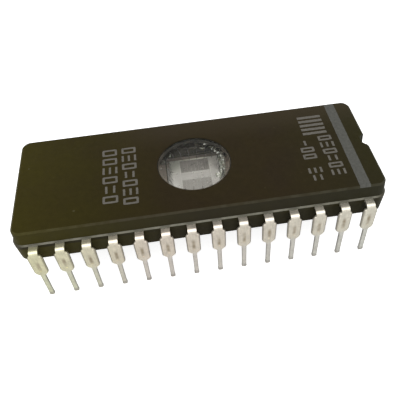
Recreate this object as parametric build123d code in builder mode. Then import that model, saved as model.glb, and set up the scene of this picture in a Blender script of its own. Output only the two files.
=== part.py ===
"""Windowed ceramic dual in-line memory package, 28 leads on 600 mil rows.

Millimetres. The package stands on its lead tips: the origin is the centre of
the part on the plane of the tips, +Z is up and +X points to the notched end,
beside pin 1. The far row (+Y) holds pins 1 to 14 and the near row pins 15 to 28.
"""
import os

from build123d import *

# Lead rows
pin_spacing = 2.54
pins_per_side = 14
row_spacing = 15.24  # between the mid-planes of the two rows

# One lead, from its tip upwards
lead_thickness = 0.25
pin_width = 0.46
tip_width = 0.52  # the tip is a little wider with tin from the dipping
tip_length = 0.45
tip_chamfer = 0.13
pin_length = 3.48
neck_length = 0.45
blade_foot_width = 1.36
blade_length = 2.61
blade_head_width = 1.44
crown_length = 0.17
shoulder_width = 0.85
bend_inner_radius = 0.17
bend_clearance = 0.05  # straight stretch between the crown and the bend
blade_corner_chamfer = 0.13
blade_edge_bevel = 0.10
groove_length = 1.20
groove_radius = 0.30
groove_depth = 0.035
groove_lift = 0.36  # from the blade's foot up to the groove's lower end

# Lead frame inside the body
anchor_depth = 0.90  # full-width stretch of a lead inside the body's side
finger_width = 0.42
finger_setback = 0.20  # from the cavity wall to the finger ends
side_finger_spacing = 1.15  # finger ends along the two long cavity walls
end_finger_spacing = 1.05  # finger ends along the two short cavity walls
end_finger_offset = 0.47  # first finger end from the middle of a short wall
fingers_per_end = 3  # leads of one row that turn to each short cavity wall

# Ceramic body
side_gap = 0.875  # from the body's side to the mid-plane of its row
end_margin = 2.05  # from the last lead's centre to the body's end
base_thickness = 1.95
base_draft = 4.0  # degrees
cap_thickness = 1.54
cap_draft = 4.0  # degrees
corner_radius = 1.20
base_edge_chamfer = 0.13
cap_edge_chamfer = 0.18
notch_radius = 0.95
notch_setout = 0.05  # the notch's centre lies this far outside the body's end

# Seal glass
base_glass_thickness = 0.13  # under the lead frame
cap_glass_thickness = 0.38  # from the frame's underside to the cap
glass_ledge = 0.14  # the cap is this much smaller all round than the glass
glass_shelf = 0.10  # bare ceramic between the cavity wall and the glass
bond_shelf = 0.80  # bare length of each finger end, for its wire

# Chip, cavity and wires
die_length = 5.30
die_width = 4.90
die_thickness = 0.38
die_attach_thickness = 0.05
die_attach_border = 0.85  # the layer nearly covers the cavity's floor
cavity_side_gap = 1.25  # from the chip to the long cavity walls
cavity_end_gap = 1.45  # from the chip to the short cavity walls
cavity_depth = 0.75
cavity_corner_radius = 0.50
recess_depth = 0.45  # hollow in the cap's underside, over the wires
wire_diameter = 0.04
wire_sides = 4  # drawn with four sides
wire_rise = 0.24  # top of a wire's loop above the lead frame
wire_inset = 0.16  # from the chip's edge to its bond pads
wire_foot_inset = 0.30  # from a finger's end back to its wire
wire_spread = 0.70  # pad spacing as a share of the finger spacing
wire_knee = 0.15  # share of the run from pad to finger where the loop is highest
wire_heel = 0.80  # share of the run where the wire turns down to the finger

# Window, a little off the body's centre
window_x = -0.05
window_y = -0.14
window_radius = 3.84
window_seal_width = 0.09
lens_chamfer = 0.04
window_recess = 0.04  # the lens lies this far below the cap's face
seal_recess = 0.07  # the sealing ring lies a little lower than the lens

# Levels
blade_foot_z = pin_length + neck_length
blade_head_z = blade_foot_z + blade_length
crown_z = blade_head_z + crown_length
bend_outer_radius = bend_inner_radius + lead_thickness
frame_top_z = crown_z + bend_clearance + bend_outer_radius
frame_z = frame_top_z - lead_thickness
base_top_z = frame_z - base_glass_thickness
base_z = base_top_z - base_thickness
cap_z = frame_z + cap_glass_thickness
cap_top_z = cap_z + cap_thickness
cavity_floor_z = base_top_z - cavity_depth
die_z = cavity_floor_z + die_attach_thickness
die_top_z = die_z + die_thickness
recess_top_z = cap_z + recess_depth

# Plan sizes
lead_face_y = row_spacing / 2 + lead_thickness / 2
body_width = row_spacing - 2 * side_gap
body_length = (pins_per_side - 1) * pin_spacing + 2 * end_margin
cap_width = body_width - 2 * glass_ledge
cap_length = body_length - 2 * glass_ledge
cavity_length = die_length + 2 * cavity_end_gap
cavity_width = die_width + 2 * cavity_side_gap
fingers_length = cavity_length + 2 * finger_setback
fingers_width = cavity_width + 2 * finger_setback
recess_length = fingers_length + 2 * bond_shelf
recess_width = fingers_width + 2 * bond_shelf
anchor_y = body_width / 2 - anchor_depth
wire_radius = wire_diameter / 2

os.makedirs("parts", exist_ok=True)


def write_part(solid, name):
    """Label one finished piece and write its STEP file."""
    solid.label = name
    export_step(solid, f"parts/{name}.step")


def lead_x(slot):
    """Place of a lead along the body; slot 0 is beside the notched end."""
    return ((pins_per_side - 1) / 2 - slot) * pin_spacing


def finger_end(slot):
    """Where a lead's inner finger ends, as (x, y) in the +Y half."""
    from_end = min(slot, pins_per_side - 1 - slot)
    sign = 1 if lead_x(slot) > 0 else -1
    if from_end < fingers_per_end:
        return sign * fingers_length / 2, end_finger_offset + from_end * end_finger_spacing
    return lead_x(slot) / pin_spacing * side_finger_spacing, fingers_width / 2


def pad_place(slot):
    """Bond pad of a lead's wire, as (x, y) in the +Y half."""
    from_end = min(slot, pins_per_side - 1 - slot)
    end_x, end_y = finger_end(slot)
    if from_end < fingers_per_end:
        sign = 1 if end_x > 0 else -1
        return sign * (die_length / 2 - wire_inset), end_y * wire_spread
    return end_x * wire_spread, die_width / 2 - wire_inset


def bent_lead(slot):
    """One stamped and bent lead of the +Y row, slots counted from the notched end."""
    x = lead_x(slot)
    end_x, end_y = finger_end(slot)
    with BuildPart() as lead:
        # The strip seen from the end: flat shoulder, bend and straight leg.
        with BuildSketch(Plane.YZ.offset(x)):
            with BuildLine():
                Polyline(
                    (anchor_y, frame_z),
                    (anchor_y, frame_top_z),
                    (lead_face_y, frame_top_z),
                    (lead_face_y, 0),
                    (lead_face_y - lead_thickness, 0),
                    (lead_face_y - lead_thickness, frame_z),
                    close=True,
                )
            make_face()
            fillet(vertices().group_by(Axis.Y)[-1].sort_by(Axis.X)[-1], bend_outer_radius)
            level = vertices().filter_by_position(Axis.Y, frame_z, frame_z)
            fillet(level.sort_by(Axis.X)[-1], bend_inner_radius)
        extrude(amount=blade_head_width, both=True)
        # The same strip seen from outside: pin, neck, blade, crown, shoulder.
        with BuildSketch(Plane.XZ.offset(-lead_face_y)):
            with BuildLine():
                Polyline(
                    (x, 0),
                    (x + tip_width / 2, 0),
                    (x + tip_width / 2, tip_length / 2),
                    (x + pin_width / 2, tip_length),
                    (x + pin_width / 2, pin_length),
                    (x + blade_foot_width / 2, blade_foot_z),
                    (x + blade_head_width / 2, blade_head_z),
                    (x + shoulder_width / 2, crown_z),
                    (x + shoulder_width / 2, frame_top_z),
                    (x, frame_top_z),
                    close=True,
                )
            make_face()
            mirror(about=Plane.YZ.offset(x))
            chamfer(vertices().group_by(Axis.Y)[0], tip_chamfer)
            blade_ends = vertices().filter_by_position(Axis.Y, blade_foot_z, blade_head_z)
            chamfer(blade_ends, blade_corner_chamfer)
        extrude(amount=row_spacing / 2, mode=Mode.INTERSECT)
        face = faces().filter_by(Plane.XZ).sort_by(Axis.Y)[-1]
        rim = face.edges().filter_by(lambda edge: pin_length < edge.center().Z < crown_z)
        chamfer(rim, blade_edge_bevel)
        # Shallow coined groove up the middle of the blade.
        groove_y = lead_face_y + groove_radius - groove_depth
        with Locations((x, groove_y, blade_foot_z + groove_lift + groove_length / 2)):
            Cylinder(groove_radius, groove_length, mode=Mode.SUBTRACT)
        # Finger inside the glass, from the shoulder to beside the cavity.
        with BuildSketch(Plane.XY.offset(frame_z)):
            with BuildLine():
                Polyline((x, anchor_y + finger_width), (x, anchor_y), (end_x, end_y))
            trace(line_width=finger_width)
            Rectangle(fingers_length, fingers_width, mode=Mode.SUBTRACT)
        extrude(amount=lead_thickness)
    return lead.part


def wire_route(slot):
    """Corners of a bond wire in the +Y half: pad, two bends and finger."""
    pad_x, pad_y = pad_place(slot)
    end_x, end_y = finger_end(slot)
    back = Vector(lead_x(slot) - end_x, anchor_y - end_y).normalized() * wire_foot_inset
    foot = Vector(end_x, end_y, frame_top_z) + back
    pad = Vector(pad_x, pad_y, die_top_z)
    loop_z = frame_top_z + wire_rise
    run = foot - pad
    knee = Vector(pad.X + wire_knee * run.X, pad.Y + wire_knee * run.Y, loop_z)
    heel = Vector(pad.X + wire_heel * run.X, pad.Y + wire_heel * run.Y, loop_z - wire_rise / 3)
    return [pad, knee, heel, foot]


# Lead frame: one half is stamped as the mirror image of the other
far_leads = []
for slot in range(pins_per_side):
    twin = pins_per_side - 1 - slot
    if twin < slot:
        far_leads.append(mirror(far_leads[twin], about=Plane.YZ))
    else:
        far_leads.append(bent_lead(slot))
near_leads = [mirror(lead, about=Plane.XZ) for lead in far_leads]
for slot in range(pins_per_side):
    write_part(far_leads[slot], f"pin_{slot + 1:02d}")
    write_part(near_leads[slot], f"pin_{2 * pins_per_side - slot:02d}")

# Pressed ceramic base with the chip's cavity
with BuildPart() as ceramic_base:
    with BuildSketch(Plane.XY.offset(base_top_z)):
        RectangleRounded(body_length, body_width, corner_radius)
    extrude(amount=-base_thickness, taper=base_draft)
    chamfer(faces().sort_by(Axis.Z)[0].edges(), base_edge_chamfer)
    with BuildSketch(Plane.XY.offset(base_top_z)):
        RectangleRounded(cavity_length, cavity_width, cavity_corner_radius)
    extrude(amount=-cavity_depth, mode=Mode.SUBTRACT)
    with BuildSketch(Plane.XY.offset(base_z)):
        with Locations((body_length / 2 + notch_setout, 0)):
            Circle(notch_radius)
    extrude(amount=base_thickness, mode=Mode.SUBTRACT)
write_part(ceramic_base.part, "ceramic_base")

# Glass film that carries the lead frame on the base
with BuildPart() as base_seal_glass:
    with BuildSketch(Plane.XY.offset(base_top_z)):
        RectangleRounded(body_length, body_width, corner_radius)
        Rectangle(cavity_length + 2 * glass_shelf, cavity_width + 2 * glass_shelf, mode=Mode.SUBTRACT)
        with Locations((body_length / 2 + notch_setout, 0)):
            Circle(notch_radius, mode=Mode.SUBTRACT)
    extrude(amount=base_glass_thickness)
write_part(base_seal_glass.part, "base_seal_glass")

# Glass between and over the leads, with its open ledge below the cap
with BuildPart() as cap_seal_glass:
    with BuildSketch(Plane.XY.offset(frame_z)):
        RectangleRounded(body_length, body_width, corner_radius)
    extrude(amount=cap_glass_thickness)
    chamfer(faces().sort_by(Axis.Z)[-1].edges(), glass_ledge)
    with BuildSketch(Plane.XY.offset(frame_z)):
        Rectangle(recess_length + 2 * glass_shelf, recess_width + 2 * glass_shelf)
        with Locations((body_length / 2 + notch_setout, 0)):
            Circle(notch_radius)
    extrude(amount=cap_glass_thickness, mode=Mode.SUBTRACT)
    add(far_leads + near_leads, mode=Mode.SUBTRACT)
write_part(cap_seal_glass.part, "cap_seal_glass")

# Pressed ceramic cap with the window's bore and the hollow over the wires
with BuildPart() as ceramic_cap:
    with BuildSketch(Plane.XY.offset(cap_z)):
        RectangleRounded(cap_length, cap_width, corner_radius - glass_ledge)
    extrude(amount=cap_thickness, taper=cap_draft)
    chamfer(faces().sort_by(Axis.Z)[-1].edges(), cap_edge_chamfer)
    with BuildSketch(Plane.XY.offset(cap_z)):
        RectangleRounded(recess_length, recess_width, cavity_corner_radius)
    extrude(amount=recess_depth, mode=Mode.SUBTRACT)
    with BuildSketch(Plane.XY.offset(cap_z)):
        with Locations((window_x, window_y)):
            Circle(window_radius)
        with Locations((body_length / 2 + notch_setout, 0)):
            Circle(notch_radius)
    extrude(amount=cap_thickness, mode=Mode.SUBTRACT)
write_part(ceramic_cap.part, "ceramic_cap")

# Window: clear lens and the sealing ring around it
with BuildPart() as window_lens:
    with BuildSketch(Plane.XY.offset(recess_top_z)):
        with Locations((window_x, window_y)):
            Circle(window_radius - window_seal_width)
    extrude(amount=cap_top_z - window_recess - recess_top_z)
    chamfer(faces().sort_by(Axis.Z)[-1].edges(), lens_chamfer)
write_part(window_lens.part, "window_lens")

with BuildPart() as window_seal:
    with BuildSketch(Plane.XY.offset(recess_top_z)):
        with Locations((window_x, window_y)):
            Circle(window_radius)
            Circle(window_radius - window_seal_width, mode=Mode.SUBTRACT)
    extrude(amount=cap_top_z - seal_recess - recess_top_z)
write_part(window_seal.part, "window_seal")

# Chip on its attach layer in the cavity
with BuildPart() as die_attach:
    with BuildSketch(Plane.XY.offset(cavity_floor_z)):
        Rectangle(die_length + 2 * die_attach_border, die_width + 2 * die_attach_border)
    extrude(amount=die_attach_thickness)
write_part(die_attach.part, "die_attach")

with BuildPart() as die:
    with BuildSketch(Plane.XY.offset(die_z)):
        Rectangle(die_length, die_width)
    extrude(amount=die_thickness)
write_part(die.part, "die")

# One wire from each finger to its pad on the chip
with BuildPart() as half_wires:
    for slot in range(pins_per_side):
        with BuildLine() as loop:
            Polyline(*wire_route(slot))
        with BuildSketch(Plane(origin=loop.line @ 0, z_dir=loop.line % 0)):
            RegularPolygon(wire_radius, wire_sides)
        sweep(path=loop.line, transition=Transition.RIGHT)
    add(far_leads + [die.part], mode=Mode.SUBTRACT)
with BuildPart() as bond_wires:
    add(half_wires.part)
    mirror(about=Plane.XZ)
write_part(bond_wires.part, "bond_wires")
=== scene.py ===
"""Looks of the windowed ceramic memory package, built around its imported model.

Sizes are in millimetres in the part's own frame and become metres when a mesh is made.
"""

import math
import random

import bmesh
import bpy
from mathutils import Matrix, Vector


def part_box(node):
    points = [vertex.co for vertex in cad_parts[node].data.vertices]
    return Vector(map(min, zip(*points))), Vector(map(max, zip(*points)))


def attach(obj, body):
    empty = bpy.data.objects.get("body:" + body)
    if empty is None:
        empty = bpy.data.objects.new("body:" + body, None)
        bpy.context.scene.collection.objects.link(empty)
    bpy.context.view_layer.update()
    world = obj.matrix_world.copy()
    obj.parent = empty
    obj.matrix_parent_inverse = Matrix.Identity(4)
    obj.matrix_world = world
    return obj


MM = 0.001

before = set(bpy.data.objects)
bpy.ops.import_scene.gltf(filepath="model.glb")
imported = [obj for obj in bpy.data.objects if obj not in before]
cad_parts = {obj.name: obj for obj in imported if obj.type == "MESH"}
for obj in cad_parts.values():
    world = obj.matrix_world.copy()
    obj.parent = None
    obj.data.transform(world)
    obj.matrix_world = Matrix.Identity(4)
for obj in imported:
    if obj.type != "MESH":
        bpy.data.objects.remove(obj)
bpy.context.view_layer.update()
scene = bpy.context.scene
scene.view_settings.view_transform = "Standard"
scatter = random.Random(28)

# Sizes of the package
pin_spacing = 2.54
pins_per_side = 14
cap_thickness = 1.54
cap_draft = math.radians(4)
cap_chamfer = 0.18
die_half_length = 2.65
die_half_width = 2.45
body_reach = 18.5  # colours change along the body over this length to each side of its middle

# Ends of the lead fingers, and the wires from them to the chip's pads
end_finger_offset = 0.47
end_finger_spacing = 1.05
side_finger_spacing = 1.15
fingers_per_end = 3
wire_inset = 0.16
wire_spread = 0.70

# Levels and places of the solids
pin_top_z = 3.48
blade_foot_z = 3.93
cavity_floor_z = 6.05
base_top_z = 6.80
frame_top_z = 7.18
cap_top_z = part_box("ceramic_cap")[1].z / MM
cap_flat_half_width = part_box("ceramic_cap")[1].y / MM - cap_thickness * math.tan(cap_draft) - cap_chamfer
glass_side_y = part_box("base_seal_glass")[1].y / MM
die_top_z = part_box("die")[1].z / MM
lens_low, lens_high = (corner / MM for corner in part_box("window_lens"))
lens_middle = (lens_low + lens_high) / 2
lens_radius = (lens_high.x - lens_low.x) / 2

# Ink on the cap, and the circuit's pieces on the chip: each a little into its face and a little above it
ink_low_z = cap_top_z - 0.010
ink_high_z = cap_top_z + 0.008
circuit_low_z = die_top_z - 0.004
circuit_high_z = die_top_z + 0.006
stroke = 0.23  # width of a mark's lines


# Materials


class Shader:
    """One procedural material; its coordinates are in millimetres in the part's frame."""

    def __init__(self, name):
        self.material = bpy.data.materials.new(name)
        self.material.use_nodes = True
        self.tree = self.material.node_tree
        self.surface = self.tree.nodes["Principled BSDF"]
        coords = self.tree.nodes.new("ShaderNodeTexCoord")
        inputs = {0: coords.outputs["Object"], "Scale": 1 / MM}
        self.point = self.node("ShaderNodeVectorMath", inputs, operation="SCALE").outputs[0]
        axes = self.node("ShaderNodeSeparateXYZ", {0: self.point})
        self.x, self.y, self.z = axes.outputs

    def feed(self, socket, value):
        """Link or set one input; a colour of three numbers gets its alpha here."""
        if isinstance(value, bpy.types.NodeSocket):
            self.tree.links.new(value, socket)
        elif socket.type == "RGBA":
            socket.default_value = (*value, 1.0)
        else:
            socket.default_value = value

    def node(self, kind, inputs, **settings):
        made = self.tree.nodes.new(kind)
        for key, value in settings.items():
            setattr(made, key, value)
        for key, value in inputs.items():
            self.feed(made.inputs[key], value)
        return made

    def math(self, operation, first, second=0.0):
        return self.node("ShaderNodeMath", {0: first, 1: second}, operation=operation).outputs[0]

    def times(self, first, *others):
        """The product of all the values."""
        for other in others:
            first = self.math("MULTIPLY", first, other)
        return first

    def absolute(self, value):
        return self.math("ABSOLUTE", value)

    def span(self, value, low, high, start=0.0, end=1.0, smooth=True):
        """The value carried from low..high to start..end, held at both ends."""
        kind = "SMOOTHSTEP" if smooth else "LINEAR"
        inputs = {"Value": value, "From Min": low, "From Max": high, "To Min": start, "To Max": end}
        return self.node("ShaderNodeMapRange", inputs, interpolation_type=kind).outputs["Result"]

    def along_body(self):
        """0 at the plain end of the body and 1 at its notched end."""
        return self.span(self.x, -body_reach, body_reach, smooth=False)

    def share(self, value, per_mm):
        """How far the value is through its present pitch, from 0 to 1."""
        return self.math("FRACT", self.math("MULTIPLY", value, per_mm))

    def lead_side(self):
        """Share of the lead spacing from the nearest lead's centre line, below 0 on its left."""
        return self.math("SUBTRACT", self.share(self.x, 1 / pin_spacing), 0.5)

    def across_lead(self):
        """Distance in millimetres from the nearest lead's centre line."""
        return self.times(self.absolute(self.lead_side()), pin_spacing)

    def stretched(self, scale):
        return self.node("ShaderNodeVectorMath", {0: self.point, 1: scale}, operation="MULTIPLY").outputs[0]

    def noise(self, scale, detail=3.0, roughness=0.5, vector=None):
        inputs = {"Vector": vector or self.point, "Scale": scale, "Detail": detail, "Roughness": roughness}
        return self.node("ShaderNodeTexNoise", inputs).outputs[0]

    def patchy(self, noise, low, high):
        """A value that wanders between low and high with a noise."""
        return self.span(noise, 0.3, 0.7, low, high)

    def spots(self, scale, inner, outer):
        """1 at scattered points, down to 0 away from them."""
        inputs = {"Vector": self.point, "Scale": scale}
        places = self.node("ShaderNodeTexVoronoi", inputs, feature="F1")
        return self.span(places.outputs["Distance"], inner, outer, 1.0, 0.0)

    def ramp(self, value, stops):
        made = self.node("ShaderNodeValToRGB", {0: value})
        line = made.color_ramp
        while len(line.elements) < len(stops):
            line.elements.new(0.5)
        for element, (place, colour) in zip(line.elements, stops):
            element.position = place
            element.color = (*colour, 1.0)
        return made.outputs[0]

    def mottle(self, noise, dark, light, edge=0.30):
        """A colour that wanders between two with a noise, pure outside edge and 1 - edge."""
        return self.ramp(noise, [(edge, dark), (1 - edge, light)])

    def mix(self, factor, first, second, blend="MIX"):
        made = self.node("ShaderNodeMix", {0: factor}, data_type="RGBA", blend_type=blend)
        self.feed(made.inputs[6], first)
        self.feed(made.inputs[7], second)
        return made.outputs[2]

    def shade(self, colour, value, low, high):
        """The colour made darker or lighter by a value from 0 to 1."""
        level = self.span(value, 0.25, 0.75, low, high, smooth=False)
        grey = self.node("ShaderNodeCombineColor", {0: level, 1: level, 2: level}).outputs[0]
        return self.mix(1.0, colour, grey, "MULTIPLY")

    def set(self, **values):
        names = {
            "colour": "Base Color",
            "metallic": "Metallic",
            "roughness": "Roughness",
            "ior": "IOR",
            "specular": "Specular IOR Level",
            "tint": "Specular Tint",
            "transmission": "Transmission Weight",
        }
        for key, value in values.items():
            self.feed(self.surface.inputs[names[key]], value)

    def bump(self, height, depth):
        """Bump from a height of 0 to 1 that stands for this many millimetres."""
        made = self.node("ShaderNodeBump", {"Height": height, "Distance": depth * MM, "Strength": 1.0})
        self.feed(self.surface.inputs["Normal"], made.outputs[0])


def make_ceramic():
    look = Shader("pressed_ceramic")
    along = look.along_body()
    body = look.ramp(along, [
        (0.00, (0.0390, 0.0325, 0.0048)),
        (0.22, (0.0285, 0.0230, 0.0050)),
        (0.42, (0.0245, 0.0178, 0.0068)),
        (0.72, (0.0245, 0.0178, 0.0078)),
        (0.90, (0.0235, 0.0195, 0.0072)),
        (1.00, (0.0235, 0.0215, 0.0075)),
    ])
    patches = look.mottle(look.noise(0.22, 2.0), (1.05, 1.05, 0.92), (0.98, 0.95, 1.06), 0.35)
    body = look.mix(1.0, body, patches, "MULTIPLY")
    body = look.shade(body, look.noise(1.6, 4.0, 0.6), 0.90, 1.10)
    body = look.shade(body, look.noise(17.0, 4.0, 0.75), 0.80, 1.22)

    # The far edge is paler, apart from its left part
    far_edge = look.times(look.span(look.y, 2.0, 6.3), look.span(look.x, -12.0, -2.0))
    body = look.mix(look.times(far_edge, 0.55), body, (0.050, 0.039, 0.024))

    # Outer walls and underside, as against the bore and the cavity
    sides = look.span(look.absolute(look.y), 5.8, 6.3)
    ends = look.span(look.absolute(look.x), 12.0, 14.0)
    under = look.span(look.z, cavity_floor_z - 0.75, cavity_floor_z - 0.15, 1.0, 0.0)
    outside = look.math("MAXIMUM", look.math("MAXIMUM", sides, ends), under)
    within = look.math("SUBTRACT", 1.0, outside)

    # The base is more olive than the cap
    low = look.times(look.span(look.z, base_top_z - 0.10, base_top_z + 0.10, 1.0, 0.0), outside)
    olive = look.ramp(along, [
        (0.00, (0.068, 0.060, 0.014)),
        (0.45, (0.034, 0.030, 0.016)),
        (1.00, (0.028, 0.027, 0.013)),
    ])
    body = look.mix(look.times(low, 0.75), body, olive)

    # The bore and cavity are paler, with a brown metal wash over the cavity's middle
    inner = look.times(look.span(look.z, cap_top_z - 0.11, cap_top_z - 0.05, 0.85, 0.0), within)
    body = look.mix(inner, body, (0.064, 0.056, 0.041))
    washed = look.times(
        look.span(look.z, base_top_z + 0.04, base_top_z + 0.12, 1.0, 0.0),
        within,
        look.span(look.absolute(look.y), 2.2, 2.9, 0.9, 0.0),
    )
    body = look.mix(washed, body, (0.520, 0.430, 0.360))

    # Pale grains, in some places only
    specks = look.times(look.spots(3.1, 0.05, 0.11), look.span(look.noise(0.9, 2.0), 0.56, 0.66))
    body = look.mix(specks, body, (0.070, 0.062, 0.045))

    # Painted highlight: the bevels are a little lighter where they catch light, and painted shade keeps the
    # walls just below them dark
    normal = look.node("ShaderNodeNewGeometry", {}).outputs["Normal"]
    facing = look.node("ShaderNodeSeparateXYZ", {0: normal}).outputs[2]
    bevel = look.times(look.span(facing, 0.45, 0.60), look.span(facing, 0.82, 0.92, 1.0, 0.0))
    painted_bevel_highlight = look.times(bevel, look.span(look.noise(1.1, 3.0), 0.35, 0.65, 0.55, 1.0))
    bevel_highlight_colour = look.ramp(along, [
        (0.00, (0.080, 0.072, 0.024)),
        (0.30, (0.054, 0.047, 0.029)),
        (1.00, (0.050, 0.047, 0.031)),
    ])
    body = look.mix(painted_bevel_highlight, body, bevel_highlight_colour)
    upright = look.span(facing, 0.20, 0.35, 1.0, 0.0)
    # Painted shade on the upper walls, just under the bevels
    wall = look.times(upright, look.span(look.z, cap_top_z - 0.60, cap_top_z - 0.15))
    body = look.mix(look.times(wall, 0.20), body, (0.008, 0.007, 0.004))

    # Painted light makes the cap's flank a little lighter; it is also olive to the left
    side = look.times(upright, look.span(look.z, frame_top_z + 0.02, frame_top_z + 0.22))
    painted_flank_light = look.ramp(along, [
        (0.00, (0.062, 0.054, 0.013)),
        (0.25, (0.048, 0.043, 0.016)),
        (0.50, (0.036, 0.034, 0.022)),
        (1.00, (0.032, 0.032, 0.021)),
    ])
    body = look.mix(look.times(side, 0.60), body, painted_flank_light)

    look.set(colour=body, specular=0.06, tint=(1.0, 0.92, 0.72))
    look.set(roughness=look.patchy(look.noise(2.4, 5.0, 0.65), 0.42, 0.58))
    fine = look.times(look.noise(26.0, 3.0, 0.7), 0.6)
    coarse = look.times(look.noise(4.5, 3.0), 0.4)
    look.bump(look.math("ADD", fine, coarse), 0.006)
    return look.material


def make_seal_glass():
    look = Shader("fired_seal_glass")
    body = look.mottle(look.noise(1.3, 4.0, 0.6), (0.022, 0.019, 0.007), (0.034, 0.029, 0.013))
    # The rim colour is a painted highlight where the open ledge catches light
    rim = look.mottle(look.noise(0.9, 4.0, 0.6), (0.160, 0.155, 0.120), (0.260, 0.252, 0.205))
    # The painted highlight is brighter between the leads than over them, and dull at the ends
    across = look.across_lead()
    rim = look.mix(look.span(across, 0.35, 0.75, 0.45, 0.0), rim, (0.090, 0.086, 0.066))
    rim = look.mix(look.span(look.absolute(look.x), 17.0, 18.1, 0.0, 0.80), rim, (0.040, 0.035, 0.018))
    body = look.mix(look.span(look.z, frame_top_z - 0.05, frame_top_z), body, rim)
    body = look.shade(body, look.noise(12.0, 3.0, 0.7), 0.80, 1.20)
    # Pale bubbles, in some places only
    bubbles = look.times(look.spots(6.5, 0.06, 0.16), look.span(look.noise(2.0), 0.52, 0.62), 0.5)
    body = look.mix(bubbles, body, (0.30, 0.30, 0.26))
    # The glass inside the body, which shows through the window, is paler
    body = look.mix(look.span(look.absolute(look.y), 5.5, 6.0, 0.85, 0.0), body, (0.128, 0.118, 0.094))
    look.set(colour=body, specular=0.08, tint=(1.0, 0.95, 0.82))
    look.set(roughness=look.patchy(look.noise(5.0, 3.0), 0.28, 0.46))
    look.bump(look.noise(5.5, 4.0, 0.6), 0.020)
    return look.material


def make_tin():
    look = Shader("tinned_strip")
    metal = look.ramp(look.along_body(), [
        (0.00, (0.77, 0.75, 0.49)),
        (0.16, (0.77, 0.73, 0.55)),
        (0.34, (0.77, 0.69, 0.59)),
        (0.60, (0.76, 0.70, 0.60)),
        (1.00, (0.75, 0.72, 0.61)),
    ])
    # The narrow pins are cooler than the blades above them
    cooler = look.mix(1.0, metal, (0.95, 0.99, 1.07), "MULTIPLY")
    metal = look.mix(look.span(look.z, pin_top_z - 0.08, blade_foot_z + 0.07, 1.0, 0.0), metal, cooler)
    # Streaks run up the strip, with uneven patches and stains over them
    streaks = look.noise(1.0, 5.0, 0.62, look.stretched((11.0, 11.0, 0.9)))
    metal = look.shade(metal, streaks, 0.84, 1.10)
    metal = look.shade(metal, look.noise(1.7, 4.0, 0.6), 0.86, 1.08)
    stains = look.span(look.noise(2.6, 5.0, 0.7), 0.54, 0.70, 0.0, 0.45)
    metal = look.mix(stains, metal, (0.46, 0.39, 0.31))
    # Tarnish in the coined groove
    across = look.across_lead()
    groove = look.times(
        look.span(across, 0.04, 0.27, 1.0, 0.0),
        look.span(look.z, blade_foot_z + 0.17, blade_foot_z + 0.82),
        look.span(look.z, blade_foot_z + 1.42, blade_foot_z + 2.22, 1.0, 0.0),
        look.span(look.noise(0.8, 2.0), 0.30, 0.62, 0.25, 0.95),
    )
    metal = look.mix(groove, metal, (0.35, 0.29, 0.205))
    # Painted shade: dark bevels at the sides of the blade stand for the dark reflections they catch, and
    # the pin's sides are painted darker
    bevel = look.times(
        look.span(across, 0.52, 0.65),
        look.span(look.z, blade_foot_z - 0.13, blade_foot_z + 0.17),
        look.span(look.lead_side(), -0.05, 0.05, 0.55, 0.52),
    )
    metal = look.mix(bevel, metal, (0.10, 0.085, 0.065))
    painted_pin_side_shade = look.times(
        look.span(across, 0.11, 0.22, 0.0, 0.45),
        look.span(look.z, pin_top_z - 0.28, pin_top_z + 0.12, 1.0, 0.0),
    )
    metal = look.mix(painted_pin_side_shade, metal, (0.27, 0.26, 0.24))
    # The strip is darker inside the body and at its tip
    inside = look.span(look.absolute(look.y), glass_side_y - 0.145, glass_side_y - 0.025, 0.95, 0.0)
    metal = look.mix(inside, metal, (0.470, 0.445, 0.375))
    tip = look.times(
        look.span(look.z, 0.25, 0.70, 0.75, 0.0),
        look.span(look.noise(3.0, 3.0), 0.35, 0.60, 0.5, 1.0),
    )
    metal = look.mix(tip, metal, (0.34, 0.32, 0.29))
    # The flat top of the lead frame is a little rougher
    duller = look.span(look.z, frame_top_z - 0.08, frame_top_z - 0.02, 0.0, 0.05)
    roughness = look.math("ADD", look.span(streaks, 0.25, 0.75, 0.30, 0.44), duller)
    look.set(colour=metal, metallic=1.0, roughness=roughness)
    look.bump(streaks, 0.004)
    return look.material


def make_lens():
    look = Shader("window_glass")
    body = look.mottle(look.noise(0.5, 3.0), (0.90, 0.90, 0.87), (0.96, 0.96, 0.94))
    look.set(colour=body, transmission=1.0, ior=1.46, tint=(0.15, 0.15, 0.12), roughness=0.0)
    return look.material


def make_frit():
    look = Shader("window_frit")
    body = look.mottle(look.noise(4.0, 4.0, 0.6), (0.012, 0.011, 0.007), (0.034, 0.030, 0.022), 0.35)
    look.set(colour=body, specular=0.12, roughness=look.patchy(look.noise(6.0, 3.0), 0.20, 0.42))
    look.bump(look.noise(7.0, 4.0), 0.02)
    return look.material


def make_film():
    look = Shader("frit_film")
    rim = look.mottle(look.noise(2.0, 4.0, 0.6), (0.002, 0.003, 0.001), (0.007, 0.008, 0.003), 0.35)
    wall = look.mottle(look.noise(1.5, 4.0, 0.6), (0.088, 0.086, 0.070), (0.112, 0.107, 0.086), 0.35)
    body = look.mix(look.span(look.z, lens_high.z - 0.41, lens_high.z - 0.23), wall, rim)
    # Painted reflection: the film is paler brown on the near half, for the light line along the window's
    # near rim
    body = look.mix(look.span(look.y, 0.8, 2.8, 1.0, 0.0), body, (0.200, 0.168, 0.132))
    look.set(colour=body, specular=0.05, roughness=look.patchy(look.noise(6.0, 3.0), 0.45, 0.65))
    return look.material


def make_grains(name, dark, light):
    look = Shader(name)
    body = look.mottle(look.noise(8.0, 2.0), dark, light, 0.35)
    look.set(colour=body, specular=0.9, roughness=look.patchy(look.noise(9.0, 2.0), 0.05, 0.22))
    return look.material


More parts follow.
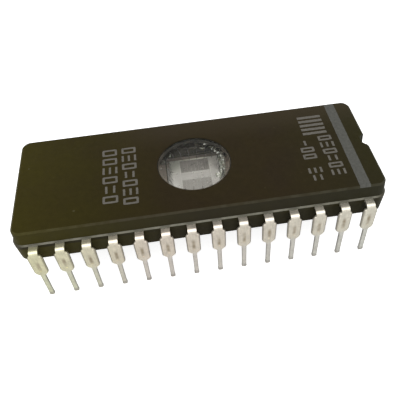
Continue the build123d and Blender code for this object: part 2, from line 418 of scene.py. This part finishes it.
def make_silicon():
    look = Shader("polished_silicon")
    body = look.mottle(look.noise(1.2, 3.0), (0.485, 0.465, 0.445), (0.545, 0.525, 0.500))
    # A faint grid of lines
    rows = look.span(look.share(look.y, 9.0), 0.80, 0.90)
    columns = look.span(look.share(look.x, 7.0), 0.86, 0.93)
    grid = look.times(look.math("MAXIMUM", rows, columns), 0.20)
    body = look.mix(grid, body, (0.40, 0.40, 0.41))
    # The far half is greenish at the left and pale at the right, and the near left corner is bright
    far = look.mix(look.span(look.x, -2.2, 2.2), (0.46, 0.46, 0.40), (0.64, 0.61, 0.57))
    body = look.mix(look.span(look.y, 0.0, 1.6, 0.0, 0.9), body, far)
    corner = look.times(look.span(look.x, -2.2, -1.5, 0.85, 0.0), look.span(look.y, -2.4, 0.4, 1.0, 0.0))
    body = look.mix(corner, body, (0.720, 0.710, 0.700))
    look.set(colour=body, metallic=look.span(look.y, 0.0, 1.6, 1.0, 0.35))
    look.set(roughness=look.patchy(look.noise(3.0, 3.0), 0.27, 0.35))
    return look.material


def make_cells():
    look = Shader("memory_cells")
    body = look.mottle(look.noise(0.9, 2.0), (0.340, 0.324, 0.304), (0.370, 0.354, 0.334))
    # Rows of faint cells
    rows = look.span(look.share(look.y, 22.0), 0.35, 0.65)
    columns = look.span(look.share(look.x, 16.0), 0.35, 0.65)
    body = look.mix(look.times(rows, columns, 0.06), body, (0.22, 0.22, 0.23))
    # Painted shade for the dark bore wall mirrored in the far half: darkest across the middle of the far
    # half
    body = look.mix(look.span(look.y, -0.6, 1.2, 0.0, 0.80), body, (0.185, 0.170, 0.155))
    body = look.mix(look.span(look.y, 1.2, 2.1, 0.0, 0.80), body, (0.285, 0.262, 0.242))
    look.set(colour=body, metallic=look.span(look.y, 0.4, 1.8, 1.0, 0.45))
    look.set(roughness=look.patchy(look.noise(3.0, 2.0), 0.27, 0.35))
    return look.material


def make_attach():
    look = Shader("gold_attach")
    body = look.mottle(look.noise(2.5, 4.0, 0.6), (0.41, 0.335, 0.275), (0.53, 0.440, 0.370))
    # A pale fillet lies beside the chip, apart from its far end, with a dark line at its outer edge
    beside = look.absolute(look.x)
    edge = die_half_length + 0.35
    fillet = look.times(
        look.span(beside, edge - 0.02, edge + 0.02, 1.0, 0.0),
        look.span(look.y, 1.4, 2.2, 0.85, 0.0),
    )
    body = look.mix(fillet, body, (0.62, 0.61, 0.59))
    line = look.times(
        look.span(beside, edge - 0.07, edge - 0.03),
        look.span(beside, edge + 0.06, edge + 0.10, 0.85, 0.0),
    )
    # Painted shade: the layer is dark beyond the chip's far side, where the cavity lies in shade. It is
    # pale at the right.
    painted_far_shade = look.span(look.y, die_half_width - 0.10, die_half_width + 0.05, 0.0, 0.60)
    body = look.mix(painted_far_shade, body, (0.070, 0.062, 0.050))
    body = look.mix(line, body, (0.040, 0.036, 0.028))
    right = look.span(look.x, edge + 0.08, edge + 0.20, 0.0, 0.60)
    body = look.mix(right, body, (0.66, 0.58, 0.50))
    look.set(colour=body, metallic=0.45, roughness=look.patchy(look.noise(5.0, 3.0), 0.35, 0.55))
    look.bump(look.noise(7.5, 3.0), 0.003)
    return look.material


def make_metal(name, dark, light, roughness, scale):
    look = Shader(name)
    body = look.mottle(look.noise(scale, 4.0, 0.6), dark, light)
    look.set(colour=body, metallic=1.0, roughness=look.patchy(look.noise(scale * 2, 3.0), *roughness))
    look.bump(look.noise(scale * 3, 3.0), 0.003)
    return look.material


def make_pale_line():
    look = Shader("pale_line")
    body = look.mottle(look.noise(2.0, 3.0), (0.60, 0.585, 0.50), (0.70, 0.68, 0.58))
    look.set(colour=body, specular=0.3, roughness=look.patchy(look.noise(5.0, 3.0), 0.40, 0.55))
    return look.material


def make_ink(name, dark, light):
    look = Shader(name)
    body = look.mottle(look.noise(3.5, 4.0, 0.6), dark, light)
    worn = look.span(look.noise(15.0, 4.0, 0.75), 0.60, 0.74, 0.0, 0.55)
    body = look.mix(worn, body, (0.050, 0.044, 0.032))
    look.set(colour=body, specular=0.10, roughness=look.patchy(look.noise(5.0), 0.50, 0.70))
    look.bump(look.noise(20.0, 3.0, 0.7), 0.003)
    return look.material


ceramic = make_ceramic()
seal_glass = make_seal_glass()
tin = make_tin()
film = make_film()
grain_glass = make_grains("frit_grains", (0.78, 0.78, 0.72), (0.95, 0.95, 0.90))
crumb_glass = make_grains("frit_crumbs", (0.10, 0.115, 0.075), (0.52, 0.54, 0.44))
silicon = make_silicon()
cells = make_cells()
wire_metal = make_metal("bond_wire", (0.16, 0.16, 0.15), (0.28, 0.27, 0.25), (0.40, 0.60), 4.0)
pad_metal = make_metal("bond_pads", (0.56, 0.56, 0.53), (0.74, 0.73, 0.69), (0.25, 0.40), 5.0)
pale_line = make_pale_line()
flaw_tone = make_ink("flaw_tone", (0.052, 0.046, 0.018), (0.072, 0.064, 0.030))
stripe_ink = make_ink("stripe_ink", (0.082, 0.082, 0.073), (0.118, 0.118, 0.105))
mark_ink = make_ink("mark_ink", (0.118, 0.110, 0.094), (0.172, 0.160, 0.140))

# Every node that isn't named here is a lead
node_materials = {
    "ceramic_base": ceramic,
    "ceramic_cap": ceramic,
    "base_seal_glass": seal_glass,
    "cap_seal_glass": seal_glass,
    "window_lens": make_lens(),
    "window_seal": make_frit(),
    "die": silicon,
    "die_attach": make_attach(),
    "bond_wires": wire_metal,
}
for name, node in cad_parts.items():
    node.data.materials.clear()
    node.data.materials.append(node_materials.get(name, tin))


# Meshes


def add_piece(name, mesh_data, material, smooth_angle=None):
    """A piece of the object from a bmesh in millimetres."""
    bmesh.ops.recalc_face_normals(mesh_data, faces=mesh_data.faces)
    bmesh.ops.scale(mesh_data, vec=(MM, MM, MM), verts=mesh_data.verts)
    mesh = bpy.data.meshes.new(name)
    mesh_data.to_mesh(mesh)
    mesh_data.free()
    if smooth_angle is not None:
        mesh.polygons.foreach_set("use_smooth", [True] * len(mesh.polygons))
        mesh.set_sharp_from_angle(angle=math.radians(smooth_angle))
    piece = bpy.data.objects.new(name, mesh)
    scene.collection.objects.link(piece)
    mesh.materials.append(material)
    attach(piece, "root")


def directions(count, start=0.0):
    """Cosine and sine of even turns round a circle; start is a share of one turn's step."""
    for number in range(count):
        turn = 2 * math.pi * (number + start) / count
        yield math.cos(turn), math.sin(turn)


def add_ring(mesh_data, places):
    return [mesh_data.verts.new(place) for place in places]


def join_rings(mesh_data, rings, closed=False):
    """Faces between each ring of points and the next; an open run gets two end faces."""
    following = rings[1:] + rings[:1] if closed else rings[1:]
    for ring, painted_far_shade in zip(rings, following):
        count = len(ring)
        for i in range(count):
            j = (i + 1) % count
            mesh_data.faces.new((ring[i], ring[j], painted_far_shade[j], painted_far_shade[i]))
    if not closed:
        mesh_data.faces.new(rings[0])
        mesh_data.faces.new(rings[-1])


def add_slab(mesh_data, outline, low, high):
    """A closed flat-topped block over an outline of (x, y) points."""
    join_rings(mesh_data, [add_ring(mesh_data, [(x, y, z) for x, y in outline]) for z in (low, high)])


def box_outline(x, y, length, width):
    half_x, half_y = length / 2, width / 2
    return [
        (x - half_x, y - half_y),
        (x + half_x, y - half_y),
        (x + half_x, y + half_y),
        (x - half_x, y + half_y),
    ]


def rough_outline(outline, step=0.10, waver=0.018):
    """The outline with its edges wavering a little, as printed ink does."""
    points = []
    for start, end in zip(outline, outline[1:] + outline[:1]):
        run = Vector(end) - Vector(start)
        side = Vector((-run.y, run.x)).normalized()
        parts = max(1, round(run.length / step))
        for number in range(parts):
            place = Vector(start) + run * (number / parts) + side * scatter.uniform(-waver, waver)
            points.append((place.x, place.y))
    return points


def add_blob(mesh_data, centre, radius, flatten=0.6, rings=5, sides=8, waver=0.25):
    """A small closed lump with an uneven surface."""
    x, y, z = centre
    levels = []
    for number in range(1, rings):
        tilt = math.pi * number / rings
        level = []
        for cosine, sine in directions(sides):
            size = radius * (1 + scatter.uniform(-waver, waver))
            level.append((
                x + size * math.sin(tilt) * cosine,
                y + size * math.sin(tilt) * sine,
                z + size * math.cos(tilt) * flatten,
            ))
        levels.append(add_ring(mesh_data, level))
    top = mesh_data.verts.new((x, y, z + radius * flatten))
    bottom = mesh_data.verts.new((x, y, z - radius * flatten))
    for i in range(sides):
        j = (i + 1) % sides
        mesh_data.faces.new((top, levels[0][i], levels[0][j]))
        mesh_data.faces.new((bottom, levels[-1][j], levels[-1][i]))
        for upper, lower in zip(levels, levels[1:]):
            mesh_data.faces.new((upper[i], lower[i], lower[j], upper[j]))


def lead_x(slot):
    """Place along the body of the lead with this number in its row."""
    return ((pins_per_side - 1) / 2 - slot) * pin_spacing


def build_stripe():
    """A stripe of ink across the cap, folded a little over both long edges."""
    made = bmesh.new()
    left_x, right_x = 15.50, 16.58
    waver = 0.016
    steps = 120
    edge = cap_flat_half_width
    folded = 0.95 * cap_chamfer  # reach down the chamfered edges
    out = folded * (1 + math.sin(cap_draft))
    drop = folded * math.cos(cap_draft)
    route = [(-edge - out, drop)]
    route += [(edge * (2 * number / steps - 1), 0.0) for number in range(steps + 1)]
    route += [(edge + out, drop)]
    rows = []
    for y, fall in route:
        left = left_x + scatter.uniform(-waver, waver)
        right = right_x + scatter.uniform(-waver, waver)
        low, high = ink_low_z - fall, ink_high_z - fall
        rows.append(add_ring(made, [(left, y, low), (right, y, low), (right, y, high), (left, y, high)]))
    join_rings(made, rows)
    add_piece("printed_stripe", made, stripe_ink)


build_stripe()

# Generic marks of ink. A mark is one hollow box, or bars at these shares of its cell's height.
BOX = "box"
THREE_BARS = (0, 0.5, 1)
TWO_BARS = (0.2, 0.8)
DASH = (0.5,)
GAP = ()


def add_box_ring(mesh_data, x, y, length, width):
    """A hollow box with slightly rounded corners and a wavering line."""
    waver = 0.014
    roundness = 0.22
    count = 64
    loops = []
    for shrink in (0.0, stroke):
        half_x = length / 2 - shrink
        half_y = width / 2 - shrink
        points = []
        for cosine, sine in directions(count, 0.5):
            along = math.copysign(abs(cosine) ** roundness, cosine)
            across = math.copysign(abs(sine) ** roundness, sine)
            points.append((
                x + half_x * along + scatter.uniform(-waver, waver),
                y + half_y * across + scatter.uniform(-waver, waver),
            ))
        loops.append(points)
    outer, inner = loops
    rings = []
    for points, z in ((outer, ink_low_z), (outer, ink_high_z), (inner, ink_high_z), (inner, ink_low_z)):
        rings.append(add_ring(mesh_data, [(px, py, z) for px, py in points]))
    join_rings(mesh_data, rings, closed=True)


def add_bar(mesh_data, x, y, length, width):
    add_slab(mesh_data, rough_outline(box_outline(x, y, length, width)), ink_low_z, ink_high_z)


def build_marks(name, rows):
    """Marks in rows: a row's limits along X, its start and end along Y, and its marks in turn."""
    made = bmesh.new()
    free_share = 0.30  # of the pitch, between two marks
    mark_share = 0.72  # a little over the rest of it
    for x_low, x_high, y_start, y_end, marks in rows:
        pitch = (y_end - y_start) / (len(marks) - free_share)
        width = abs(pitch) * mark_share
        height = x_high - x_low
        x_mid = (x_low + x_high) / 2
        for number, mark in enumerate(marks):
            y_mid = y_start + pitch * (number + (1 - free_share) / 2)
            if mark == BOX:
                add_box_ring(made, x_mid, y_mid, height, width)
                continue
            for share in mark:
                x_bar = x_high - stroke / 2 - share * (height - stroke)
                add_bar(made, x_bar, y_mid, stroke, width)
    add_piece(name, made, mark_ink)


build_marks("left_marks", [
    (-7.50, -5.98, 3.45, -4.60, (BOX, THREE_BARS, BOX, TWO_BARS, BOX, THREE_BARS, BOX)),
    (-9.52, -7.98, 3.45, -4.15, (BOX, BOX, THREE_BARS, BOX, TWO_BARS, BOX)),
])
build_marks("right_marks", [
    (13.35, 14.80, 1.35, -4.45, (BOX, THREE_BARS, BOX, TWO_BARS, BOX, THREE_BARS)),
    (11.15, 12.55, 0.90, -4.85, (DASH, BOX, BOX, GAP, THREE_BARS, TWO_BARS)),
])


def build_bars():
    """Plain bars beyond the rows on the right."""
    made = bmesh.new()
    bars = 5
    bars_x = 13.28
    first_y = 1.95
    pitch = 0.65
    length, width = 2.60, 0.36
    for number in range(bars):
        add_bar(made, bars_x, first_y + number * pitch, length, width)
    add_piece("plain_bars", made, mark_ink)


build_bars()

# Small pale flaws in the cap's face: x, y and radius
flaw_places = (
    (-17.2, 2.2, 0.11),
    (-12.3, -4.5, 0.14),
    (-14.6, 0.4, 0.06),
    (6.4, -4.9, 0.06),
    (9.2, 3.6, 0.05),
)


def build_flaws():
    made = bmesh.new()
    lift = 0.004
    corners = 14
    for x, y, radius in flaw_places:
        outline = []
        for cosine, sine in directions(corners):
            size = radius * scatter.uniform(0.6, 1.1)
            outline.append((x + size * cosine, y + size * sine))
        add_slab(made, outline, ink_low_z, cap_top_z + lift)
    add_piece("surface_flaws", made, flaw_tone)


build_flaws()


def build_menisci():
    """Glass drawn up against each lead where it leaves the body."""
    made = bmesh.new()
    half_width = 0.47
    largest_reach = 0.13
    least_reach = 0.004
    rise_share = 0.75  # of the reach
    rooted_y = glass_side_y - 0.03
    rooted_z = frame_top_z - 0.02
    steps = 4  # in half a meniscus
    for side in (-1, 1):
        for slot in range(pins_per_side):
            sections = []
            for number in range(-steps, steps + 1):
                share = number / steps
                swell = math.sqrt(1 - share ** 4) * scatter.uniform(0.75, 1.25)
                reach = largest_reach * swell + least_reach
                rise = reach * rise_share
                profile = (
                    (rooted_y, rooted_z),
                    (glass_side_y + reach, rooted_z),
                    (glass_side_y + reach, frame_top_z + 0.004),
                    (glass_side_y + reach * 0.38, frame_top_z + rise * 0.35),
                    (glass_side_y + 0.006, frame_top_z + rise),
                    (rooted_y, frame_top_z + rise),
                )
                place = lead_x(slot) + share * half_width
                sections.append(add_ring(made, [(place, side * y, z) for y, z in profile]))
            join_rings(made, sections)
    add_piece("glass_menisci", made, seal_glass, 50)


build_menisci()


def add_circuit(name, outlines, material):
    """One look's flat parts of the chip's circuit."""
    made = bmesh.new()
    for outline in outlines:
        add_slab(made, outline, circuit_low_z, circuit_high_z)
    add_piece(name, made, material)


def grid_outlines(x_limits, y_limits, columns, rows, gap):
    """A field of even boxes with this gap between them."""
    x_low, x_high = x_limits
    y_low, y_high = y_limits
    outlines = []
    length = (x_high - x_low - gap * (columns - 1)) / columns
    width = (y_high - y_low - gap * (rows - 1)) / rows
    for i in range(columns):
        for j in range(rows):
            x = x_low + length / 2 + i * (length + gap)
            y = y_low + width / 2 + j * (width + gap)
            outlines.append(box_outline(x, y, length, width))
    return outlines


def pad_places():
    """Centres of the bond pads under the wires, on both halves of the chip."""
    places = []
    for slot in range(pins_per_side):
        from_end = min(slot, pins_per_side - 1 - slot)
        if from_end < fingers_per_end:
            x = math.copysign(die_half_length - wire_inset, lead_x(slot))
            y = (end_finger_offset + from_end * end_finger_spacing) * wire_spread
        else:
            x = lead_x(slot) / pin_spacing * side_finger_spacing * wire_spread
            y = die_half_width - wire_inset
        places += [(x, y), (x, -y)]
    return places


# Fields of the circuit: their limits along X and along Y
cells_x = (-1.50, 1.58)
far_cells_y = (0.52, 2.26)
near_cells_y = (-2.22, -0.60)
left_drivers_x = (-2.20, -1.66)
right_drivers_x = (1.74, 2.20)
side_drivers_y = (-2.20, 2.20)
middle_drivers_y = (-0.46, 0.38)
cell_gap = 0.012
driver_gap = 0.05

# Long lines of the circuit, and its pads
cells_middle_x = 0.04
side_lines_x = (-2.31, -1.58, 1.66, 2.28)
near_line_y = -2.37
far_line_y = 2.375
line_width = 0.03
pad_size = 0.13

cell_outlines = grid_outlines(cells_x, far_cells_y, 8, 2, cell_gap)
cell_outlines += grid_outlines(cells_x, near_cells_y, 8, 2, cell_gap)
add_circuit("cell_fields", cell_outlines, cells)

driver_outlines = grid_outlines(cells_x, middle_drivers_y, 16, 3, driver_gap)
driver_outlines += grid_outlines(left_drivers_x, side_drivers_y, 2, 18, driver_gap)
driver_outlines += grid_outlines(right_drivers_x, side_drivers_y, 2, 18, driver_gap)
add_circuit("driver_blocks", driver_outlines, silicon)

pad_outlines = [box_outline(x, y, pad_size, pad_size) for x, y in pad_places()]
add_circuit("bond_pads", pad_outlines, pad_metal)

bus_outlines = [box_outline(cells_middle_x, near_line_y, 3.2, line_width)]
bus_outlines += [box_outline(x, 0.0, line_width, 4.6) for x in side_lines_x]
add_circuit("bus_lines", bus_outlines, pad_metal)

far_outline = box_outline(cells_middle_x, far_line_y, 3.3, 0.095)
add_circuit("far_line", [far_outline], pale_line)


def build_edge_film():
    """A dark film of frit wetted onto the lens's edge, just inside its side wall."""
    made = bmesh.new()
    outer = lens_radius - 0.008
    inner = outer - 0.02
    bevel = 0.03
    count = 96
    low = lens_low.z + 0.004
    high = lens_high.z - 0.05
    top = lens_high.z - 0.012
    profile = (
        (outer, low),
        (inner, low),
        (inner, high),
        (inner - bevel, top),
        (outer - bevel, top),
        (outer, high),
    )
    rings = []
    for radius, z in profile:
        rings.append(add_ring(made, [
            (lens_middle.x + radius * cosine, lens_middle.y + radius * sine, z)
            for cosine, sine in directions(count)
        ]))
    join_rings(made, rings, closed=True)
    add_piece("frit_film", made, film, 40)


build_edge_film()

# Beads of frit left inside the window's ring on the lens's lower face: x, y and radius
bead_places = (
    (1.42, 3.18, 0.130), (2.10, 2.24, 0.075), (2.38, 1.88, 0.085), (2.66, 1.60, 0.150),
    (2.88, 1.05, 0.095), (3.03, 0.40, 0.135), (2.98, -0.10, 0.055), (2.92, -0.88, 0.115),
    (2.60, -1.25, 0.070), (2.30, -1.38, 0.120), (-3.52, 0.32, 0.075),
)
# Flat smears of frit, pale and dull, and a narrow dull sliver on the far left that stands for a painted
# highlight: x, y and radius
pale_smears = (
    (2.30, -1.62, 0.20), (2.50, -1.44, 0.15), (2.22, -1.90, 0.13), (2.60, -1.05, 0.11), (2.72, -0.52, 0.10),
)
dull_smears = (
    (2.08, -1.50, 0.15), (2.46, -1.78, 0.14), (2.05, -1.78, 0.11), (1.10, 2.50, 0.09), (1.32, 2.58, 0.07),
    (0.92, 2.62, 0.06), (2.66, 0.20, 0.11), (2.56, 0.72, 0.10), (2.70, -0.20, 0.12),
)
painted_highlight_sliver = ((-2.44, 1.90, 0.080), (-2.42, 2.08, 0.075), (-2.40, 2.26, 0.060))


def add_smears(mesh_data, places):
    for x, y, size in places:
        add_blob(mesh_data, (x, y, lens_low.z - 0.03), size, flatten=0.12, sides=12, waver=0.3)


def build_beads():
    made = bmesh.new()
    add_smears(made, pale_smears)
    for x, y, size in bead_places:
        add_blob(made, (x, y, lens_low.z - size * 0.30), size)
    add_piece("frit_beads", made, grain_glass, 40)


def crumb_places():
    """Degrees round the window and distance from its middle for each crumb."""
    # Along the right, further out towards the far side
    for _ in range(90):
        degrees = scatter.triangular(-24, 68, 26)
        yield degrees, 2.96 + 0.0085 * degrees + scatter.triangular(-0.22, 0.36, 0.02)
    # At the near right, at the right and at the left
    for count, draw, turns, distances in (
        (65, scatter.triangular, (-42, -14, -31), (2.72, 3.38)),
        (70, scatter.uniform, (-22, 14), (2.62, 3.20)),
        (15, scatter.uniform, (150, 200), (3.30, 3.58)),
    ):
        for _ in range(count):
            yield draw(*turns), scatter.uniform(*distances)


def build_crumbs():
    """Crumbs of frit between the beads, with the dull smears and the painted highlight sliver."""
    made = bmesh.new()
    add_smears(made, dull_smears)
    for degrees, distance in crumb_places():
        turn = math.radians(degrees)
        size = scatter.triangular(0.020, 0.075, 0.035)
        x = lens_middle.x + distance * math.cos(turn)
        y = lens_middle.y + distance * math.sin(turn)
        add_blob(made, (x, y, lens_low.z - size * 0.35), size, rings=4, sides=6)
    add_smears(made, painted_highlight_sliver)
    add_piece("frit_crumbs", made, crumb_glass, 40)


build_beads()
build_crumbs()


# World, floor and lamp


def blend_by_ray(tree, rays, low, high):
    """A value that is high for these kinds of ray and low for the rest."""
    paths = tree.nodes.new("ShaderNodeLightPath")
    value = paths.outputs[rays[0]]
    for ray in rays[1:]:
        joined = tree.nodes.new("ShaderNodeMath")
        joined.operation = "MAXIMUM"
        tree.links.new(value, joined.inputs[0])
        tree.links.new(paths.outputs[ray], joined.inputs[1])
        value = joined.outputs[0]
    spread = tree.nodes.new("ShaderNodeMapRange")
    tree.links.new(value, spread.inputs["Value"])
    spread.inputs["To Min"].default_value = low
    spread.inputs["To Max"].default_value = high
    return spread.outputs["Result"]


def build_world():
    """A white sky that lights the part less brightly than it shows."""
    world = bpy.data.worlds.new("studio")
    scene.world = world
    world.use_nodes = True
    tree = world.node_tree
    sky = tree.nodes["Background"]
    sky.inputs["Color"].default_value = (1.0, 1.0, 1.0, 1.0)
    cast, seen = 0.52, 1.0
    strength = blend_by_ray(tree, ("Is Camera Ray", "Is Glossy Ray", "Is Transmission Ray"), cast, seen)
    tree.links.new(strength, sky.inputs["Strength"])


def build_floor():
    """White paper that glows for the camera and, faintly, in reflections."""
    half_size = 0.6
    drop = 0.00003
    seen_glow = 0.80
    mirrored_glow = 0.06
    made = bmesh.new()
    bmesh.ops.create_grid(made, x_segments=4, y_segments=4, size=half_size)
    mesh = bpy.data.meshes.new("floor")
    made.to_mesh(mesh)
    made.free()
    floor = bpy.data.objects.new("floor", mesh)
    floor.location.z = -drop
    scene.collection.objects.link(floor)
    material = bpy.data.materials.new("paper")
    material.use_nodes = True
    tree = material.node_tree
    surface = tree.nodes["Principled BSDF"]
    surface.inputs["Base Color"].default_value = (0.88, 0.88, 0.87, 1.0)
    surface.inputs["Roughness"].default_value = 0.9
    surface.inputs["Specular IOR Level"].default_value = 0.0
    surface.inputs["Emission Color"].default_value = (1.0, 1.0, 1.0, 1.0)
    glow = blend_by_ray(tree, ("Is Camera Ray",), 0.0, seen_glow)
    shine = blend_by_ray(tree, ("Is Glossy Ray", "Is Transmission Ray"), 0.0, mirrored_glow)
    total = tree.nodes.new("ShaderNodeMath")
    tree.links.new(glow, total.inputs[0])
    tree.links.new(shine, total.inputs[1])
    tree.links.new(total.outputs[0], surface.inputs["Emission Strength"])
    mesh.materials.append(material)


def back_direction(azimuth, elevation):
    """Direction from the part to something that looks at it from these angles."""
    return Vector((
        math.sin(azimuth) * math.cos(elevation),
        -math.cos(azimuth) * math.cos(elevation),
        math.sin(elevation),
    ))


def build_softbox(name, azimuth, elevation, distance, size, radiance):
    """A square lamp that faces the part; azimuth 0 is in front of it, at -Y."""
    lamp = bpy.data.lights.new(name, "AREA")
    lamp.shape = "SQUARE"
    lamp.size = size
    lamp.energy = radiance * math.pi * size * size
    back = back_direction(math.radians(azimuth), math.radians(elevation))
    light = bpy.data.objects.new(name, lamp)
    light.location = back * distance
    light.rotation_mode = "QUATERNION"
    light.rotation_quaternion = (-back).to_track_quat("-Z", "Y")
    scene.collection.objects.link(light)


build_world()
build_floor()
build_softbox("overhead", azimuth=0, elevation=68, distance=0.30, size=0.28, radiance=1.9)


# Camera


def build_camera():
    azimuth, elevation, roll = (math.radians(angle) for angle in (-4.765, 48.169, -4.272))
    target = Vector((0.0, 0.0, 4.0))
    distance, pan_right, pan_up = 57.478, 1.307, -0.062
    back = back_direction(azimuth, elevation)
    level_right = (-back).cross(Vector((0, 0, 1))).normalized()
    level_up = level_right.cross(-back)
    right = math.cos(roll) * level_right + math.sin(roll) * level_up
    up = math.cos(roll) * level_up - math.sin(roll) * level_right
    lens = bpy.data.cameras.new("photo_camera")
    lens.sensor_width = 36.0
    lens.lens = 46.788
    lens.shift_x = -0.0234
    lens.shift_y = -0.01624
    lens.clip_start = 0.001
    lens.clip_end = 10.0
    camera = bpy.data.objects.new("photo_camera", lens)
    place = (target + back * distance + right * pan_right + up * pan_up) * MM
    camera.matrix_world = Matrix.Translation(place) @ Matrix((right, up, back)).transposed().to_4x4()
    scene.collection.objects.link(camera)
    scene.camera = camera


build_camera()
